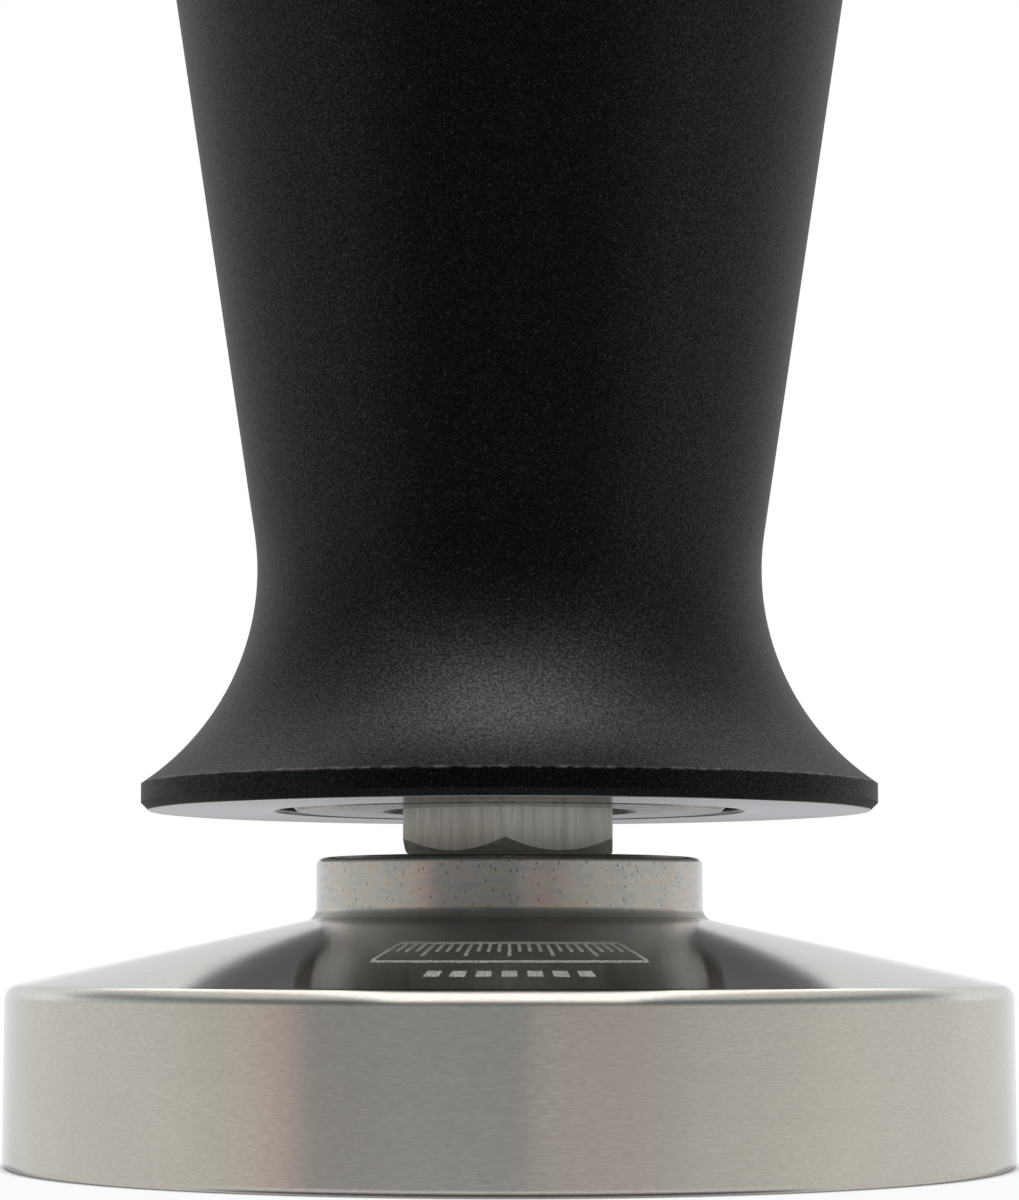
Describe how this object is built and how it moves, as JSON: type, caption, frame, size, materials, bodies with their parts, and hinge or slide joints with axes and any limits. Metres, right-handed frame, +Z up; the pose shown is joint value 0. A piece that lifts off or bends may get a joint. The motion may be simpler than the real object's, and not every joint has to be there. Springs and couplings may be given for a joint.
{
  "type": "espresso tamper",
  "caption": "Espresso tamper with a flat turned base and a sprung, spinning handle that slides down a hex spindle and clicks at a set force.",
  "frame": {"origin": "centre of the tamping face", "axes": "+Z up along the spindle, from the tamping face to the handle; -Y is the front"},
  "size_m": [0.058, 0.058, 0.0884],
  "materials": {
    "base_steel": "fine-turned stainless steel, polished cone",
    "spindle_steel": "brushed stainless steel",
    "anodised_handle": "bead-blasted black anodised aluminium with a bare machined underside",
    "machined_aluminium": "bare turned aluminium",
    "ring_steel": "phosphated spring steel",
    "hardened_steel": "ground hardened steel",
    "spring_wire": "oiled music wire",
    "bronze": "sintered bronze",
    "seal_rubber": "matte nitrile rubber",
    "nylon": "natural nylon"
  },
  "bodies": {
    "base": {"tamping_base": "base_steel", "hex_spindle": "spindle_steel", "spindle_head": "hardened_steel"},
    "washer": {"thrust_washer": "nylon"},
    "handle": {"handle_shell": "anodised_handle", "retainer_plate": "machined_aluminium", "retaining_ring": "ring_steel", "guide_bush": "bronze", "wiper_seal": "seal_rubber", "spacer_tube": "machined_aluminium", "centring_cup": "hardened_steel", "return_spring": "spring_wire", "main_spring": "spring_wire", "spring_seat": "hardened_steel", "calibration_shims": "spindle_steel"},
    "pin": {"release_pin": "hardened_steel"},
    "hammer": {"hammer": "hardened_steel"}
  },
  "joints": [
    {"name": "handle_press", "type": "slide", "parent": "base", "child": "washer", "axis": [0, 0, 1], "range_m": [-0.0022, 0], "stiffness_N_per_m": 58000, "springref_m": 0.0001, "deforming": ["main_spring", "return_spring"]},
    {"name": "handle_spin", "type": "hinge", "parent": "washer", "child": "handle", "pos_m": [0, 0, 0], "axis": [0, 0, 1], "continuous": true},
    {"name": "pin_tilt", "type": "hinge", "parent": "base", "child": "pin", "pos_m": [0, 0, 0.03669], "axis": [0, -1, 0], "range_deg": [0, 4]},
    {"name": "hammer_drop", "type": "slide", "parent": "base", "child": "hammer", "axis": [0, 0, 1], "range_m": [-0.0016, 0]}
  ],
  "couplings": [
    {"joint": "pin_tilt", "follows": "handle_press", "rad_per_m": -31.73},
    {"joint": "hammer_drop", "follows": "handle_press", "ratio": 0.7272}
  ]
}
